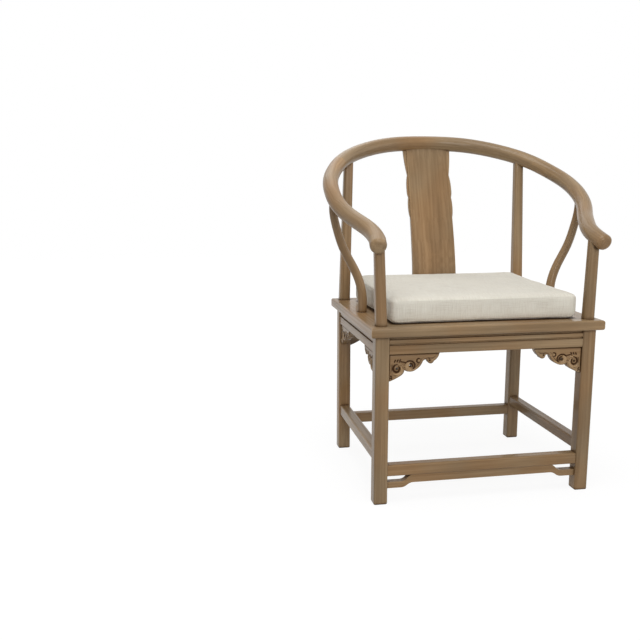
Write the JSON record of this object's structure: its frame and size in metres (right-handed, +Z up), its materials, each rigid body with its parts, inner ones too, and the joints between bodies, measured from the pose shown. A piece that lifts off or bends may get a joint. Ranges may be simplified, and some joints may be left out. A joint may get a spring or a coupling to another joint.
{
  "type": "horseshoe back armchair",
  "caption": "Wooden horseshoe back armchair with a curved crest rail, bent splat, carved apron spandrels, a raised foot rest and a loose linen seat cushion",
  "frame": {"origin": "on the floor, under the middle of the whole chair's outline", "axes": "X to the right as seen from the front, Y to the back of the chair, Z up"},
  "size_m": [0.728, 0.5888, 0.9237],
  "materials": {
    "frame_wood": "satin",
    "carved_wood": "satin",
    "seat_board_wood": "matte",
    "cushion_linen": "matte",
    "cushion_filling": "matte"
  },
  "bodies": {
    "chair": {"front_leg_left": "frame_wood", "front_leg_right": "frame_wood", "rear_leg_left": "frame_wood", "rear_leg_right": "frame_wood", "seat_rail_front": "frame_wood", "seat_rail_rear": "frame_wood", "seat_rail_left": "frame_wood", "seat_rail_right": "frame_wood", "seat_panel": "seat_board_wood", "seat_batten_left": "seat_board_wood", "seat_batten_right": "seat_board_wood", "waist_front": "frame_wood", "waist_rear": "frame_wood", "waist_left": "frame_wood", "waist_right": "frame_wood", "apron_front": "frame_wood", "apron_rear": "frame_wood", "apron_left": "frame_wood", "apron_right": "frame_wood", "front_spandrel_left": "carved_wood", "front_spandrel_right": "carved_wood", "rear_spandrel_left": "carved_wood", "rear_spandrel_right": "carved_wood", "side_spandrel_left_front": "carved_wood", "side_spandrel_left_rear": "carved_wood", "side_spandrel_right_front": "carved_wood", "side_spandrel_right_rear": "carved_wood", "footrest_front": "frame_wood", "humpback_stretcher": "frame_wood", "stretcher_rear": "frame_wood", "stretcher_left": "frame_wood", "stretcher_right": "frame_wood", "crest_back": "frame_wood", "crest_arm_left": "frame_wood", "crest_arm_right": "frame_wood", "crest_pin_left": "frame_wood", "crest_pin_right": "frame_wood", "side_post_left": "frame_wood", "side_post_right": "frame_wood", "back_splat": "frame_wood", "splat_wing_left": "carved_wood", "splat_wing_right": "carved_wood"},
    "cushion": {"cushion_cover": "cushion_linen", "cushion_foam": "cushion_filling"}
  },
  "joints": [
    {"name": "cushion_lift", "type": "slide", "parent": "chair", "child": "cushion", "axis": [0, 0, 1], "range_m": [0, 0.5]}
  ]
}
